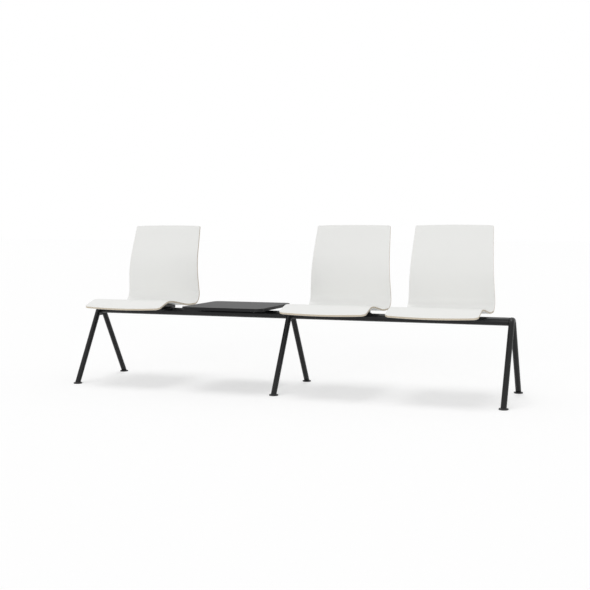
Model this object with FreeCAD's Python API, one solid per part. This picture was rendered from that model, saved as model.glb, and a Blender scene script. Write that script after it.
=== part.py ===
import FreeCAD, Part
import math
import os

# Three plywood seats and a low table on a two-part tubular beam, carried by three A-shaped tube frames.
# All sizes are in millimetres. Y is measured from the beam's axis until the pieces are written,
# when everything shifts together so that the origin lies at the middle of the footprint, on the floor.

# Beam: round steel tube in two lengths
beam_diameter = 42.4
beam_wall = 2.6
beam_centre_z = 405.3
frame_spacing = 1200.0

# A-frames: one round tube bent to an inverted V, with a web plate welded into the crotch
leg_diameter = 30.0
leg_wall = 2.0
leg_crossing_z = 448.0
leg_bend_radius = 36.0
foot_spread = 514.0
leg_end_z = 8.0
web_thickness = 6.0
web_bottom_z = 370.0

# Spigots: turned collars welded to the A-frames, with a pin that the beam slides over
spigot_reach = 42.0
spigot_clearance = 0.05
beam_end_gap = 0.5
set_screw_diameter = 8.0
set_screw_inset = 22.0
set_screw_bite = 6.0
set_screw_socket = 4.0
set_screw_socket_depth = 4.0

# Levelling feet: a nylon disc on a vertical threaded stud that screws into a plug in the leg's end
foot_diameter = 48.0
foot_rim_height = 6.5
foot_neck_diameter = 32.0
foot_edge_round = 1.2
stud_diameter = 8.0
stud_clearance = 0.05
stud_reach = 14.0
stud_head_diameter = 16.0
stud_head_height = 3.0
stud_head_z = 2.5
plug_height = 24.0
plug_bore_spare = 1.5

# Seat shell: pressed plywood between two laminate faces. Its side profile is followed from front lip to top
# Seats are placed by their left edges: the first from the left frame, the second from the middle frame
first_seat_inset = 34.0
second_seat_inset = 17.0
seat_gap = 99.0
shell_thickness = 11.0
face_thickness = 1.0
shell_width = 476.0
shell_top_width = 430.0
taper_start_z = 478.0
seat_front_y = -251.0
seat_crest_z = 472.5
lip_slope = 17.0
lip_length = 110.0
crest_front_radius = 125.0
crest_rear_radius = 450.0
seat_fall_slope = 9.5
seat_fall_length = 112.0
hollow_radius = 545.0
hollow_flat = 49.0
bend_radius = 58.0
lumbar_lean = 5.0
lumbar_rise = 70.0
back_curve_radius = 410.0
back_recline = 18.5
back_top_length = 168.0
front_bow = 19.0
top_crown = 4.0
front_corner_radius = 26.0
top_corner_radius = 6.0

# Seat brackets: a saddle on the beam, and an angle whose flange follows the underside of the shell
seat_bracket_inset = 68.0
bracket_front_y = -105.0
bracket_rear_y = 92.0
flange_thickness = 3.0
flange_width = 36.0
rib_thickness = 5.0
rib_bottom_z = 419.0
saddle_thickness = 4.0
saddle_length = 64.0
saddle_half_angle = 55.0

# Fasteners between bracket and beam
beam_screw_diameter = 8.0
beam_screw_head_diameter = 14.0
beam_screw_head_height = 4.0
beam_screw_offset = 19.0
beam_screw_socket = 5.0
spot_face_depth = 1.0
spot_face_margin = 1.0
rivet_nut_diameter = 11.0
rivet_nut_collar_diameter = 15.0
rivet_nut_collar_height = 3.5
rivet_nut_length = 16.0
screw_hole_margin = 0.5

# Fasteners between bracket and shell
shell_screw_diameter = 6.0
shell_screw_head_diameter = 11.0
shell_screw_head_height = 3.3
shell_screw_socket = 4.0
shell_screw_offset = 19.0
shell_screw_front_y = -80.0
shell_screw_rear_y = 68.0
insert_diameter = 9.0
insert_length = 8.0
screw_socket_depth = 2.2

# Table: a laminated board with an edge band, on two flat brackets. Its inset is from the middle frame
table_right_inset = 85.5
table_width = 478.0
table_depth = 466.0
table_centre_y = 5.5
table_top_z = 452.0
table_thickness = 16.0
table_corner_radius = 40.0
edge_band_thickness = 1.0
table_bracket_inset = 89.0
table_plate_width = 50.0
table_plate_length = 300.0
table_plate_corner = 8.0
table_screw_diameter = 4.5
table_screw_head_diameter = 8.5
table_screw_head_height = 2.4
table_screw_length = 14.0
table_screw_inset = 14.0

# Sizes that follow from the ones above
beam_radius = beam_diameter / 2
beam_bore_radius = beam_radius - beam_wall
beam_top_z = beam_centre_z + beam_radius
leg_radius = leg_diameter / 2
foot_y = foot_spread / 2
first_seat_x = -frame_spacing + first_seat_inset + shell_width / 2
second_seat_x = second_seat_inset + shell_width / 2
third_seat_x = second_seat_x + shell_width + seat_gap
seat_positions = [first_seat_x, second_seat_x, third_seat_x]
seat_bracket_offset = shell_width / 2 - seat_bracket_inset
table_position = -table_right_inset - table_width / 2
table_bracket_offset = table_width / 2 - table_bracket_inset
leg_slope = math.atan2(foot_y, leg_crossing_z - leg_end_z)
frame_positions = {"left": -frame_spacing, "middle": 0.0, "right": frame_spacing}
across = FreeCAD.Vector(1, 0, 0)
upward = FreeCAD.Vector(0, 0, 1)
# Length of the rough solids that trim other pieces, longer than anything they cut
clear_length = 4 * frame_spacing
# An edge counts as upright when its direction is closer to vertical than to level
corner_limit = math.cos(math.radians(45))


def vector(x, y, z):
    return FreeCAD.Vector(x, y, z)


def cylinder(radius, length, start, direction=upward):
    return Part.makeCylinder(radius, length, start, direction)


def block(low, high):
    return Part.makeBox(high.x - low.x, high.y - low.y, high.z - low.z, low)


def joined(shapes):
    """One shape from touching solids, with the seams between them removed."""
    return shapes[0].fuse(shapes[1:]).removeSplitter()


def group(solids):
    return Part.makeCompound(solids)


def upright_edges(shape):
    upright = []
    for edge in shape.Edges:
        if abs(edge.tangentAt(edge.FirstParameter).z) > corner_limit:
            upright.append(edge)
    return upright


def hex_socket(width, depth, start, direction):
    """Six-sided key hole, from start along direction, with the given width across flats."""
    corner_radius = width / 2 / math.cos(math.pi / 6)
    turn = FreeCAD.Rotation(upward, direction)
    corners = []
    for side in range(7):
        angle = side * math.pi / 3
        corner = vector(corner_radius * math.cos(angle), corner_radius * math.sin(angle), 0)
        corners.append(start + turn.multVec(corner))
    return Part.Face(Part.makePolygon(corners)).extrude(direction * depth)


# Side profile of the shell

def profile_steps():
    """The shell's upper surface from front lip to top: (length,) is straight, (radius, turn) is an arc.

    A positive turn bends upward and a negative one downward, in degrees.
    """
    return [
        (lip_length,),
        (crest_front_radius, -lip_slope),
        (crest_rear_radius, -seat_fall_slope),
        (seat_fall_length,),
        (hollow_radius, seat_fall_slope),
        (hollow_flat,),
        (bend_radius, 90 + lumbar_lean),
        (lumbar_rise,),
        (back_curve_radius, -(lumbar_lean + back_recline)),
        (back_top_length,),
    ]


def heading_vector(angle):
    return vector(0, math.cos(math.radians(angle)), math.sin(math.radians(angle)))


def profile_start():
    """Front end of the upper surface, set so that the crest has its height."""
    lip_rise = lip_length * math.sin(math.radians(lip_slope))
    crest_rise = crest_front_radius * (1 - math.cos(math.radians(lip_slope)))
    return vector(0, seat_front_y, seat_crest_z - lip_rise - crest_rise)


def profile_path(depth):
    """Stations of the profile at a depth below the upper surface.

    Each station is (start, middle, end, start angle, end angle); middle is None on a straight.
    """
    angle = lip_slope
    point = profile_start() - heading_vector(angle + 90) * depth
    stations = []
    for step in profile_steps():
        if len(step) == 1:
            end = point + heading_vector(angle) * step[0]
            stations.append((point, None, end, angle, angle))
        else:
            surface_radius, turn = step
            side = 1 if turn > 0 else -1
            radius = surface_radius + side * depth
            centre = point + heading_vector(angle + side * 90) * radius
            middle = centre - heading_vector(angle + turn / 2 + side * 90) * radius
            end = centre - heading_vector(angle + turn + side * 90) * radius
            stations.append((point, middle, end, angle, angle + turn))
            angle = angle + turn
        point = end
    return stations


def profile_edges(depth):
    edges = []
    for station in profile_path(depth):
        start, middle, end = station[:3]
        if middle is None:
            edges.append(Part.LineSegment(start, end).toShape())
        else:
            edges.append(Part.Arc(start, middle, end).toShape())
    return edges


def layer(upper_depth, lower_depth, centre_x, width):
    """The band of the profile between two depths, as a solid of the given width."""
    upper_edges = profile_edges(upper_depth)
    lower_edges = profile_edges(lower_depth)
    upper_path = profile_path(upper_depth)
    lower_path = profile_path(lower_depth)
    front = Part.LineSegment(lower_path[0][0], upper_path[0][0]).toShape()
    top = Part.LineSegment(upper_path[-1][2], lower_path[-1][2]).toShape()
    wire = Part.Wire(Part.__sortEdges__(upper_edges + lower_edges + [front, top]))
    face = Part.Face(wire)
    face.translate(vector(centre_x - width / 2, 0, 0))
    return face.extrude(across * width)


def station_at(y, depth):
    """Point and heading of the seat's surface, at a depth, straight below or above a given Y."""
    for start, middle, end, start_angle, end_angle in profile_path(depth):
        if start.y <= y <= end.y:
            share = (y - start.y) / (end.y - start.y)
            if middle is None:
                return start + (end - start) * share, start_angle
            circle = Part.Arc(start, middle, end).toShape().Curve
            side = 1 if end_angle > start_angle else -1
            z = circle.Center.z - side * math.sqrt(circle.Radius ** 2 - (y - circle.Center.y) ** 2)
            angle = math.degrees(math.asin((y - circle.Center.y) / circle.Radius)) * side
            return vector(0, y, z), angle
    raise ValueError("no seat surface at this Y")


def shell_end(depth):
    return profile_path(depth)[-1][2]


# Seat shells

def shell_blank(centre_x):
    """The whole pressed shell: bent slab, tapered back, bowed front edge and crowned top edge."""
    slab = layer(0, shell_thickness, centre_x, shell_width)
    top_z = shell_end(0).z
    top_spare = shell_thickness
    slope = (shell_width - shell_top_width) / 2 / (top_z - taper_start_z)
    high_z = top_z + top_spare
    high_half_width = shell_top_width / 2 - slope * top_spare
    low_z = beam_centre_z - beam_diameter
    outline = Part.makePolygon([
        vector(centre_x - shell_width / 2, -clear_length / 2, low_z),
        vector(centre_x + shell_width / 2, -clear_length / 2, low_z),
        vector(centre_x + shell_width / 2, -clear_length / 2, taper_start_z),
        vector(centre_x + high_half_width, -clear_length / 2, high_z),
        vector(centre_x - high_half_width, -clear_length / 2, high_z),
        vector(centre_x - shell_width / 2, -clear_length / 2, taper_start_z),
        vector(centre_x - shell_width / 2, -clear_length / 2, low_z),
    ])
    tapered = slab.common(Part.Face(outline).extrude(vector(0, clear_length, 0)))

    bow_radius = shell_width ** 2 / 8 / front_bow
    lip_normal = heading_vector(lip_slope + 90)
    bow_centre = profile_start() + heading_vector(lip_slope) * bow_radius
    bow_start = bow_centre - lip_normal * clear_length / 2 + across * centre_x
    bowed = tapered.common(cylinder(bow_radius, clear_length, bow_start, lip_normal))

    crown_radius = shell_top_width ** 2 / 8 / top_crown
    back_angle = 90 - back_recline
    back_normal = heading_vector(back_angle + 90)
    crown_centre = shell_end(0) - heading_vector(back_angle) * crown_radius
    crown_start = crown_centre - back_normal * clear_length / 2 + across * centre_x
    crowned = bowed.common(cylinder(crown_radius, clear_length, crown_start, back_normal))

    front_rounded = rounded_corners(crowned, centre_x, "front")
    return rounded_corners(front_rounded, centre_x, "top")


def rounded_corners(shell, centre_x, end):
    """Rounds the two corner edges that run through the shell's thickness at its front or its top."""
    corners = []
    for edge in shell.Edges:
        through = abs(edge.Length - shell_thickness) < shell_thickness / 4
        beside = abs(edge.CenterOfMass.x - centre_x) > shell_top_width / 4
        if through and beside:
            corners.append(edge)
    if end == "front":
        corners.sort(key=lambda edge: edge.CenterOfMass.y)
        radius = front_corner_radius
    else:
        corners.sort(key=lambda edge: -edge.CenterOfMass.z)
        radius = top_corner_radius
    return shell.makeFillet(radius, corners[:2])


def shell_layers(centre_x):
    """The plywood core and its two laminate faces, cut from one blank so that their edges are flush."""
    blank = shell_blank(centre_x)
    core_end = shell_thickness - face_thickness
    face = blank.common(layer(0, face_thickness, centre_x, shell_width))
    core = blank.common(layer(face_thickness, core_end, centre_x, shell_width))
    back_face = blank.common(layer(core_end, shell_thickness, centre_x, shell_width))
    return face, core, back_face


def shell_fixings(centre_x):
    """Underside point and inward direction of each screw that holds the shell, with its X."""
    fixings = []
    for side in (-1, 1):
        for y in (shell_screw_front_y, shell_screw_rear_y):
            point, angle = station_at(y, shell_thickness)
            x = centre_x + side * (seat_bracket_offset - shell_screw_offset)
            fixings.append((point + across * x, heading_vector(angle + 90)))
    return fixings


def threaded_insert(point, inward):
    sleeve = cylinder(insert_diameter / 2, insert_length, point, inward)
    return sleeve.cut(cylinder(shell_screw_diameter / 2, insert_length, point, inward))


def shell_screw(point, inward):
    """Button-head screw from below the flange up into the insert."""
    bearing = point - inward * flange_thickness
    head_bottom = bearing - inward * shell_screw_head_height
    shank = cylinder(shell_screw_diameter / 2, flange_thickness + insert_length, bearing, inward)
    head = cylinder(shell_screw_head_diameter / 2, shell_screw_head_height, head_bottom, inward)
    screw = joined([shank, head])
    return screw.cut(hex_socket(shell_screw_socket, screw_socket_depth, head_bottom, inward))


# Brackets

def saddle(centre_x):
    """Curved plate that lies over the top of the beam."""
    start = vector(centre_x - saddle_length / 2, 0, beam_centre_z)
    outer = cylinder(beam_radius + saddle_thickness, saddle_length, start, across)
    ring = outer.cut(cylinder(beam_radius, saddle_length, start, across))
    reach = 2 * (beam_radius + saddle_thickness)
    side_y = reach * math.sin(math.radians(saddle_half_angle))
    side_z = reach * math.cos(math.radians(saddle_half_angle))
    wedge = Part.makePolygon([
        start,
        start + vector(0, side_y, side_z),
        start + vector(0, side_y, reach),
        start + vector(0, -side_y, reach),
        start + vector(0, -side_y, side_z),
        start,
    ])
    return ring.common(Part.Face(wedge).extrude(across * saddle_length))


def beam_screw_places(centre_x):
    return [centre_x - beam_screw_offset, centre_x + beam_screw_offset]


def spot_face_z():
    return beam_top_z + saddle_thickness - spot_face_depth


def drilled_for_beam_screws(bracket, centre_x):
    """Holes and flat seats for the two screws that hold a bracket down, open above for the key."""
    for x in beam_screw_places(centre_x):
        hole_radius = beam_screw_diameter / 2 + screw_hole_margin
        seat_radius = beam_screw_head_diameter / 2 + spot_face_margin
        bracket = bracket.cut(cylinder(hole_radius, beam_diameter, vector(x, 0, beam_centre_z)))
        bracket = bracket.cut(cylinder(seat_radius, beam_diameter, vector(x, 0, spot_face_z())))
    return bracket


def seat_bracket(centre_x, inner_side):
    """Saddle, rib and flange of one seat bracket, welded together. The flange turns to the seat's middle."""
    flange_end = shell_thickness + flange_thickness
    rib_side = centre_x - inner_side * rib_thickness / 2
    flange_centre = rib_side + inner_side * flange_width / 2
    reach_low = vector(flange_centre - flange_width / 2, bracket_front_y, rib_bottom_z)
    reach_high = vector(flange_centre + flange_width / 2, bracket_rear_y, seat_crest_z)
    flange = layer(shell_thickness, flange_end, flange_centre, flange_width)
    flange = flange.common(block(reach_low, reach_high))
    rib_low = vector(centre_x - rib_thickness / 2, bracket_front_y, rib_bottom_z)
    rib_high = vector(centre_x + rib_thickness / 2, bracket_rear_y, seat_crest_z)
    rib_depth = flange_end + seat_crest_z - rib_bottom_z
    rib = layer(flange_end, rib_depth, centre_x, rib_thickness).common(block(rib_low, rib_high))
    beam_start = vector(centre_x - saddle_length, 0, beam_centre_z)
    rib = rib.cut(cylinder(beam_radius, 2 * saddle_length, beam_start, across))
    bracket = drilled_for_beam_screws(joined([flange, rib, saddle(centre_x)]), centre_x)
    for y in (shell_screw_front_y, shell_screw_rear_y):
        point, angle = station_at(y, shell_thickness)
        inward = heading_vector(angle + 90)
        start = point + across * (centre_x + inner_side * shell_screw_offset) - inward * 2 * flange_thickness
        bracket = bracket.cut(cylinder(shell_screw_diameter / 2 + screw_hole_margin,
                                       3 * flange_thickness, start, inward))
        bracket = bracket.cut(cylinder(shell_screw_head_diameter / 2, flange_thickness, start, inward))
    return bracket


def table_bracket(centre_x):
    """Saddle with a flat plate on top, screwed to the board from below."""
    plate_top = table_top_z - table_thickness
    low = vector(centre_x - table_plate_width / 2, table_centre_y - table_plate_length / 2, spot_face_z())
    high = vector(centre_x + table_plate_width / 2, table_centre_y + table_plate_length / 2, plate_top)
    plate = block(low, high)
    plate = plate.makeFillet(table_plate_corner, upright_edges(plate))
    bracket = drilled_for_beam_screws(joined([plate, saddle(centre_x)]), centre_x)
    for point in table_fixings(centre_x):
        bracket = bracket.cut(cylinder(table_screw_diameter / 2 + screw_hole_margin, clear_length,
                                       point - upward * clear_length / 2))
    return bracket


def table_fixings(centre_x):
    """The four screw places of one table bracket, on the underside of its plate."""
    places = []
    for x_side in (-1, 1):
        for y_side in (-1, 1):
            x = centre_x + x_side * (table_plate_width / 2 - table_screw_inset)
            y = table_centre_y + y_side * (table_plate_length / 2 - table_screw_inset)
            places.append(vector(x, y, spot_face_z()))
    return places


def table_screw(point):
    """Pan-head wood screw from below the plate up into the board."""
    head_bottom = point - upward * table_screw_head_height
    head = cylinder(table_screw_head_diameter / 2, table_screw_head_height, head_bottom)
    return joined([cylinder(table_screw_diameter / 2, table_screw_length, point), head])


# Beam, spigots and their fasteners

def bracket_positions():
    """X of every bracket on the beam: two for each seat and two for the table."""
    places = []
    for seat_x in seat_positions:
        places.append(seat_x - seat_bracket_offset)
        places.append(seat_x + seat_bracket_offset)
    places.append(table_position - table_bracket_offset)
    places.append(table_position + table_bracket_offset)
    return places


def beam_screw_positions():
    places = []
    for bracket_x in bracket_positions():
        places.extend(beam_screw_places(bracket_x))
    return places


def beam_length_between(start_x, end_x):
    """One length of beam tube between two A-frames, drilled for its rivet nuts and set screws."""
    first = start_x + leg_radius + beam_end_gap
    last = end_x - leg_radius - beam_end_gap
    start = vector(first, 0, beam_centre_z)
    tube = cylinder(beam_radius, last - first, start, across)
    tube = tube.cut(cylinder(beam_bore_radius, last - first, start, across))
    for x in beam_screw_positions():
        if first < x < last:
            tube = tube.cut(cylinder(rivet_nut_diameter / 2, beam_diameter, vector(x, 0, beam_centre_z)))
    for x in (first + set_screw_inset, last - set_screw_inset):
        tube = tube.cut(cylinder(set_screw_diameter / 2, beam_diameter, vector(x, 0, beam_centre_z), -upward))
    return tube


def rivet_nut(x):
    """Flush blind rivet nut in the top of the beam, pulled up under the wall."""
    bottom_z = beam_top_z - rivet_nut_length
    sleeve = cylinder(rivet_nut_diameter / 2, rivet_nut_length, vector(x, 0, bottom_z))
    collar_z = beam_centre_z + beam_bore_radius - rivet_nut_collar_height
    collar = cylinder(rivet_nut_collar_diameter / 2, rivet_nut_collar_height, vector(x, 0, collar_z))
    start = vector(x - rivet_nut_collar_diameter, 0, beam_centre_z)
    reach = 2 * rivet_nut_collar_diameter
    collar = collar.common(cylinder(beam_bore_radius, reach, start, across))
    nut = joined([sleeve.common(cylinder(beam_radius, reach, start, across)), collar])
    return nut.cut(cylinder(beam_screw_diameter / 2, rivet_nut_length, vector(x, 0, bottom_z)))


def beam_screw(x):
    """Low-head screw through a saddle into a rivet nut."""
    head = cylinder(beam_screw_head_diameter / 2, beam_screw_head_height, vector(x, 0, spot_face_z()))
    tip_z = beam_top_z - rivet_nut_length
    shank = cylinder(beam_screw_diameter / 2, spot_face_z() - tip_z, vector(x, 0, tip_z))
    head_top = vector(x, 0, spot_face_z() + beam_screw_head_height)
    return joined([head, shank]).cut(hex_socket(beam_screw_socket, screw_socket_depth, head_top, -upward))


def set_screw_places():
    """X of the four set screws, one near each end of each length of beam."""
    inset = leg_radius + beam_end_gap + set_screw_inset
    left, middle, right = frame_positions.values()
    return [left + inset, middle - inset, middle + inset, right - inset]


def set_screw_end_z():
    """Height of a set screw's outer end, level with the sides of its hole in the round tube."""
    return beam_centre_z - math.sqrt(beam_radius ** 2 - (set_screw_diameter / 2) ** 2)


def set_screw(x):
    """Headless screw through the underside of the beam into the spigot."""
    end = vector(x, 0, set_screw_end_z())
    body = cylinder(set_screw_diameter / 2, beam_wall + set_screw_bite, end)
    return body.cut(hex_socket(set_screw_socket, set_screw_socket_depth, end, upward))


def spigot(frame_x, side, frame_solid):
    """Collar coped to the A-frame, and the pin that the beam slides over."""
    direction = across * side
    collar_start = vector(frame_x, 0, beam_centre_z) + direction * web_thickness / 2
    collar_length = leg_radius - web_thickness / 2
    collar = cylinder(beam_radius, collar_length, collar_start, direction).cut(frame_solid)
    pin_radius = beam_bore_radius - spigot_clearance
    pin_start = vector(frame_x, 0, beam_centre_z) + direction * leg_radius
    pin = cylinder(pin_radius, spigot_reach, pin_start, direction)
    whole = joined([collar, pin])
    inset = leg_radius + beam_end_gap + set_screw_inset
    screw_end = vector(frame_x + side * inset, 0, set_screw_end_z())
    whole = whole.cut(cylinder(set_screw_diameter / 2, beam_wall + set_screw_bite, screw_end))
    return whole.cut(cylinder(set_screw_diameter / 2, beam_wall, screw_end, -upward))


# A-frames and feet

def frame_path(frame_x):
    """Centre line of the bent tube: up the front leg, round the bend and down the rear leg."""
    down_front = vector(0, -math.sin(leg_slope), -math.cos(leg_slope))
    down_rear = vector(0, math.sin(leg_slope), -math.cos(leg_slope))
    crossing = vector(frame_x, 0, leg_crossing_z)
    bend_centre = crossing - upward * (leg_bend_radius / math.sin(leg_slope))
    tangent_length = leg_bend_radius / math.tan(leg_slope)
    leg_length = (leg_crossing_z - leg_end_z) / math.cos(leg_slope) + leg_diameter
    front_foot = crossing + down_front * leg_length
    front_tangent = crossing + down_front * tangent_length
    rear_tangent = crossing + down_rear * tangent_length
    rear_foot = crossing + down_rear * leg_length
    return Part.Wire([
        Part.LineSegment(front_foot, front_tangent).toShape(),
        Part.Arc(front_tangent, bend_centre + upward * leg_bend_radius, rear_tangent).toShape(),
        Part.LineSegment(rear_tangent, rear_foot).toShape(),
    ])


def swept_round(path, radius):
    start = path.Vertexes[0].Point
    direction = path.Edges[0].tangentAt(path.Edges[0].FirstParameter)
    section = Part.Wire(Part.makeCircle(radius, start, direction))
    return path.makePipeShell([section], True, False)


def above_leg_end(shape):
    """Trims a leg flat, parallel to the floor, at the height of its end."""
    low = vector(-clear_length, -clear_length, leg_end_z)
    high = vector(clear_length, clear_length, clear_length)
    return shape.common(block(low, high))


def frame_solids(frame_x):
    """The bent tube as a full round bar, and the bar that is its bore."""
    path = frame_path(frame_x)
    bar = above_leg_end(swept_round(path, leg_radius))
    bore_bar = above_leg_end(swept_round(path, leg_radius - leg_wall))
    return bar, bore_bar


def frame_web(frame_x, bar):
    """Plate that fills the crotch below the bend, cut to the tube."""
    half_width = (leg_crossing_z - web_bottom_z) * math.tan(leg_slope)
    outline = Part.makePolygon([
        vector(frame_x - web_thickness / 2, -half_width, web_bottom_z),
        vector(frame_x - web_thickness / 2, half_width, web_bottom_z),
        vector(frame_x - web_thickness / 2, 0, leg_crossing_z),
        vector(frame_x - web_thickness / 2, -half_width, web_bottom_z),
    ])
    plate = Part.Face(outline).extrude(across * web_thickness).cut(bar)
    pieces = sorted(plate.Solids, key=lambda solid: solid.CenterOfMass.z)
    return pieces[0]


def leg_plug(frame_x, side, bore_bar):
    """Plug pressed into the leg's end, with an upright threaded hole."""
    low = vector(frame_x - leg_diameter, min(0, side * clear_length), leg_end_z)
    high = vector(frame_x + leg_diameter, max(0, side * clear_length), leg_end_z + plug_height)
    plug = bore_bar.common(block(low, high))
    hole_depth = stud_reach + plug_bore_spare
    start = vector(frame_x, side * foot_y, leg_end_z)
    return plug.cut(cylinder(stud_diameter / 2 + stud_clearance, hole_depth, start))


def foot_stud(frame_x, side):
    """Threaded stud with a flat head that is moulded into the disc."""
    head_start = vector(frame_x, side * foot_y, stud_head_z)
    head = cylinder(stud_head_diameter / 2, stud_head_height, head_start)
    shank = cylinder(stud_diameter / 2, leg_end_z + stud_reach - stud_head_z, head_start)
    return joined([head, shank])


def foot_pad(frame_x, side):
    """Disc with a sloping shoulder up to the leg's end, moulded round the stud."""
    rim = foot_diameter / 2
    neck = foot_neck_diameter / 2
    section = Part.makePolygon([
        vector(0, 0, 0),
        vector(rim - foot_edge_round, 0, 0),
        vector(rim, 0, foot_edge_round),
        vector(rim, 0, foot_rim_height - foot_edge_round),
        vector(rim - foot_edge_round, 0, foot_rim_height),
        vector(neck, 0, leg_end_z),
        vector(0, 0, leg_end_z),
        vector(0, 0, 0),
    ])
    disc = Part.Face(section).revolve(vector(0, 0, 0), upward, 360)
    disc.translate(vector(frame_x, side * foot_y, 0))
    return disc.cut(foot_stud(frame_x, side))


# Table

def rounded_board(inset, low_z, high_z):
    low = vector(table_position - table_width / 2 + inset, table_centre_y - table_depth / 2 + inset, low_z)
    high = vector(table_position + table_width / 2 - inset, table_centre_y + table_depth / 2 - inset, high_z)
    board = block(low, high)
    return board.makeFillet(table_corner_radius - inset, upright_edges(board))


def table_pieces():
    bottom_z = table_top_z - table_thickness
    board = rounded_board(edge_band_thickness, bottom_z, table_top_z)
    band = rounded_board(0, bottom_z, table_top_z).cut(board)
    for bracket_x in (table_position - table_bracket_offset, table_position + table_bracket_offset):
        for point in table_fixings(bracket_x):
            board = board.cut(table_screw(point))
    return board, band


def footprint_shift():
    """Y shift that puts the middle of the footprint at the origin."""
    front_reach = -(foot_y + foot_diameter / 2)
    back_reach = max(shell_end(shell_thickness).y, foot_y + foot_diameter / 2)
    return -(front_reach + back_reach) / 2


def build():
    nodes = {}
    plugs = []
    bars = {}
    for name, frame_x in frame_positions.items():
        bar, bore_bar = frame_solids(frame_x)
        bars[name] = bar
        nodes[name + "_frame"] = bar.cut(bore_bar)
        nodes[name + "_frame_web"] = frame_web(frame_x, bar)
        for side, place in ((-1, "front"), (1, "rear")):
            foot = name + "_" + place + "_foot"
            nodes[foot + "_pad"] = foot_pad(frame_x, side)
            nodes[foot + "_stud"] = foot_stud(frame_x, side)
            plugs.append(leg_plug(frame_x, side, bore_bar))
    nodes["leg_plugs"] = group(plugs)

    nodes["left_spigot"] = spigot(frame_positions["left"], 1, bars["left"])
    nodes["middle_left_spigot"] = spigot(frame_positions["middle"], -1, bars["middle"])
    nodes["middle_right_spigot"] = spigot(frame_positions["middle"], 1, bars["middle"])
    nodes["right_spigot"] = spigot(frame_positions["right"], -1, bars["right"])
    nodes["left_beam"] = beam_length_between(frame_positions["left"], frame_positions["middle"])
    nodes["right_beam"] = beam_length_between(frame_positions["middle"], frame_positions["right"])
    nodes["beam_set_screws"] = group([set_screw(x) for x in set_screw_places()])
    nodes["beam_rivet_nuts"] = group([rivet_nut(x) for x in beam_screw_positions()])
    nodes["bracket_screws"] = group([beam_screw(x) for x in beam_screw_positions()])

    for number, seat_x in enumerate(seat_positions, start=1):
        seat = "seat_" + str(number)
        face, core, back_face = shell_layers(seat_x)
        fixings = shell_fixings(seat_x)
        for point, inward in fixings:
            hole = cylinder(insert_diameter / 2, 2 * insert_length, point - inward * insert_length, inward)
            core = core.cut(hole)
            back_face = back_face.cut(hole)
        nodes[seat + "_face"] = face
        nodes[seat + "_core"] = core
        nodes[seat + "_back_face"] = back_face
        nodes[seat + "_left_bracket"] = seat_bracket(seat_x - seat_bracket_offset, 1)
        nodes[seat + "_right_bracket"] = seat_bracket(seat_x + seat_bracket_offset, -1)
        nodes[seat + "_inserts"] = group([threaded_insert(point, inward) for point, inward in fixings])
        nodes[seat + "_screws"] = group([shell_screw(point, inward) for point, inward in fixings])

    board, band = table_pieces()
    nodes["table_board"] = board
    nodes["table_edge_band"] = band
    table_screws = []
    for name, side in (("left", -1), ("right", 1)):
        bracket_x = table_position + side * table_bracket_offset
        nodes["table_" + name + "_bracket"] = table_bracket(bracket_x)
        table_screws.extend(table_screw(point) for point in table_fixings(bracket_x))
    nodes["table_screws"] = group(table_screws)
    return nodes


os.makedirs("parts", exist_ok=True)
shift = vector(0, footprint_shift(), 0)
for node_name, shape in build().items():
    placed = shape.copy()
    placed.translate(shift)
    placed.exportStep("parts/" + node_name + ".step")
    print(node_name, len(placed.Solids), round(placed.Volume), placed.isValid())
print("beam axis Y", round(shift.y, 3), "top", round(shell_end(0).z, 2))
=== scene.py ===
import bpy
import math
from mathutils import Euler, Matrix, Vector


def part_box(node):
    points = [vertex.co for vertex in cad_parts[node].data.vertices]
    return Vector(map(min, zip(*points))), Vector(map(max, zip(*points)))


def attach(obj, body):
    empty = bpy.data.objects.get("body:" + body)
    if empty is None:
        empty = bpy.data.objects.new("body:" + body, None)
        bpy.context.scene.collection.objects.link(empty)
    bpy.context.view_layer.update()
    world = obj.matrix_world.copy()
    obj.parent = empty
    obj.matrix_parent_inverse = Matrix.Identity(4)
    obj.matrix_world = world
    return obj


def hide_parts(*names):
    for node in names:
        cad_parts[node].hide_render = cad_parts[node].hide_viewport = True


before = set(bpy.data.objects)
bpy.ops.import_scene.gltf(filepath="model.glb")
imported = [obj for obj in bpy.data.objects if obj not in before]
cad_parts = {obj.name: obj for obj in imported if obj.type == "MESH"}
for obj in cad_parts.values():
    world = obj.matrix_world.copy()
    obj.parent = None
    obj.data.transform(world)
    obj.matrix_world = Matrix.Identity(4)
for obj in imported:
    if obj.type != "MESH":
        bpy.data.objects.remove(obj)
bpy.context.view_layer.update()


# Camera
# A mild tele view from seated eye height, right of the middle and turned towards the left end.
# It was solved from the legs, the feet and the beam, so its place is taken from the beam's axis.
def middle(node):
    """The middle of a solid's box, as x, y and z."""
    low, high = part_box(node)
    return [(least + most) / 2 for least, most in zip(low, high)]


beam_y, beam_z = middle("left_beam")[1:]
viewpoint = Vector((1.9230, beam_y - 5.0703, 0.8829))
turn_left = math.radians(20.526)
look_down = math.radians(3.885)
tilt_left = math.radians(-0.092)
focal_pixels = 991.8
picture_pixels = 590

lens = bpy.data.cameras.new("camera")
lens.lens = lens.sensor_width * focal_pixels / picture_pixels
camera = bpy.data.objects.new("camera", lens)
camera.location = viewpoint
aim = Euler((math.pi / 2 - look_down, 0, turn_left)).to_matrix() @ Matrix.Rotation(tilt_left, 3, "Z")
camera.rotation_euler = aim.to_euler()
bpy.context.scene.collection.objects.link(camera)
bpy.context.scene.camera = camera
bpy.context.scene.view_settings.view_transform = "Standard"


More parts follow.
